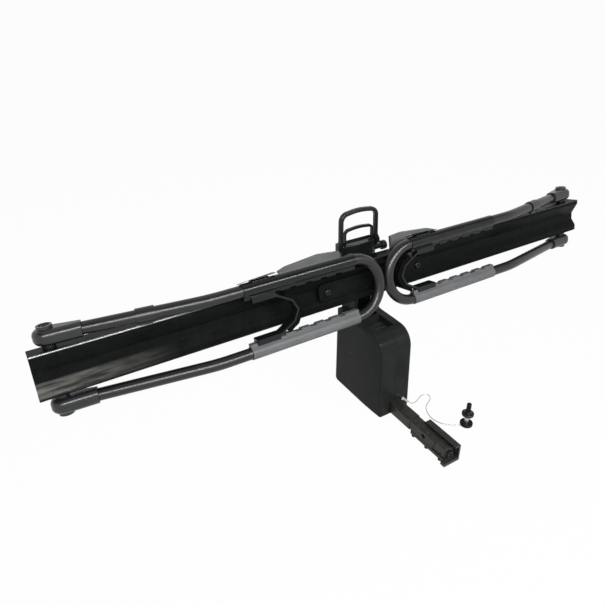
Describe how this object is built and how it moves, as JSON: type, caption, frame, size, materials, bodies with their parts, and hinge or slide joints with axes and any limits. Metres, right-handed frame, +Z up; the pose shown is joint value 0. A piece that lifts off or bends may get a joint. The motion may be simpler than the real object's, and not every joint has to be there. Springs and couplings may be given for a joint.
{
  "type": "hitch bike rack",
  "caption": "Stowed hitch bike rack: a wheel tray with swinging U-shaped hoops and sliding wheel hooks, on a tilting mast with a square hitch bar, grab handle and tethered pin.",
  "frame": {"origin": "middle of the hitch pin hole, on its axis and on the square bar's axis", "axes": "+X along the wheel tray, +Y away from the vehicle, +Z up with the tray stowed upright"},
  "size_m": [1.7, 0.4533, 0.5508],
  "materials": {
    "black_steel": "fine-texture powder coat, satin",
    "black_aluminium": "satin black coated aluminium",
    "cast_black": "coated casting, satin",
    "moulded_plastic": "fine grained moulded nylon",
    "rubber": "matte ribbed rubber",
    "dark_bolt": "black oxide",
    "bright_steel": "plain steel"
  },
  "bodies": {
    "hitch_mast": {"hitch_bar": "black_steel", "end_wedge": "black_steel", "wedge_bolt": "dark_bolt", "bar_sleeve": "black_steel", "hitch_adapter": "black_steel", "adapter_bolt_a": "dark_bolt", "adapter_bolt_b": "dark_bolt", "adapter_bolt_c": "dark_bolt", "housing_right": "moulded_plastic", "housing_left": "moulded_plastic", "pocket_insert": "moulded_plastic", "upright": "black_steel", "tilt_pin": "bright_steel", "lanyard_anchor": "bright_steel", "lanyard_cable": "bright_steel", "hitch_pin": "black_steel", "pin_cap": "moulded_plastic"},
    "tray_frame": {"tray": "black_aluminium", "tray_plate": "moulded_plastic", "tilt_bracket": "black_steel", "plate_bolt_left": "dark_bolt", "plate_bolt_right": "dark_bolt", "brace_left": "moulded_plastic", "brace_right": "moulded_plastic", "handle_base": "moulded_plastic", "grab_handle": "black_aluminium", "handle_knob": "moulded_plastic", "neck_upper_left": "black_steel", "neck_upper_right": "black_steel", "neck_lower_left": "black_steel", "neck_lower_right": "black_steel", "hinge_bolt_upper_left": "dark_bolt", "hinge_bolt_upper_right": "dark_bolt", "hinge_bolt_lower_left": "dark_bolt", "hinge_bolt_lower_right": "dark_bolt"},
    "trigger": {"release_trigger": "black_aluminium"},
    "hoop_left": {"hoop_tube_left": "black_steel", "knuckle_upper_left": "cast_black", "knuckle_lower_left": "cast_black", "rail_upper_left": "moulded_plastic", "rail_lower_left": "moulded_plastic", "collar_left": "moulded_plastic"},
    "hook_left": {"hook_band_left": "moulded_plastic", "hook_pad_left": "rubber", "hook_saddle_left": "moulded_plastic"},
    "lever_left": {"hook_lever_left": "moulded_plastic"},
    "hoop_right": {"hoop_tube_right": "black_steel", "knuckle_upper_right": "cast_black", "knuckle_lower_right": "cast_black", "rail_upper_right": "moulded_plastic", "rail_lower_right": "moulded_plastic", "collar_right": "moulded_plastic"},
    "hook_right": {"hook_band_right": "moulded_plastic", "hook_pad_right": "rubber", "hook_saddle_right": "moulded_plastic"},
    "lever_right": {"hook_lever_right": "moulded_plastic"}
  },
  "joints": [
    {"name": "tray_tilt", "type": "hinge", "parent": "hitch_mast", "child": "tray_frame", "pos_m": [0, 0.32, 0.2738], "axis": [-1, 0, 0], "range_deg": [0, 77.6]},
    {"name": "trigger_squeeze", "type": "slide", "parent": "tray_frame", "child": "trigger", "axis": [0, 0.0419, 0.9991], "range_m": [0, 0.014]},
    {"name": "hoop_swing_left", "type": "hinge", "parent": "tray_frame", "child": "hoop_left", "pos_m": [-0.805, 0.28571, 0.3435], "axis": [0, -0.2147, -0.9767], "range_deg": [0, 150]},
    {"name": "hoop_swing_right", "type": "hinge", "parent": "tray_frame", "child": "hoop_right", "pos_m": [0.805, 0.28571, 0.3435], "axis": [0, 0.2147, 0.9767], "range_deg": [0, 150]},
    {"name": "hook_slide_left", "type": "slide", "parent": "hoop_left", "child": "hook_left", "axis": [1, 0, 0], "range_m": [0, 0.215]},
    {"name": "hook_slide_right", "type": "slide", "parent": "hoop_right", "child": "hook_right", "axis": [1, 0, 0], "range_m": [0, 0.215]},
    {"name": "lever_lift_left", "type": "hinge", "parent": "hook_left", "child": "lever_left", "pos_m": [0, 0.25654, 0.44539], "axis": [-1, 0, 0], "range_deg": [0, 25]},
    {"name": "lever_lift_right", "type": "hinge", "parent": "hook_right", "child": "lever_right", "pos_m": [0, 0.25654, 0.44539], "axis": [-1, 0, 0], "range_deg": [0, 25]}
  ]
}
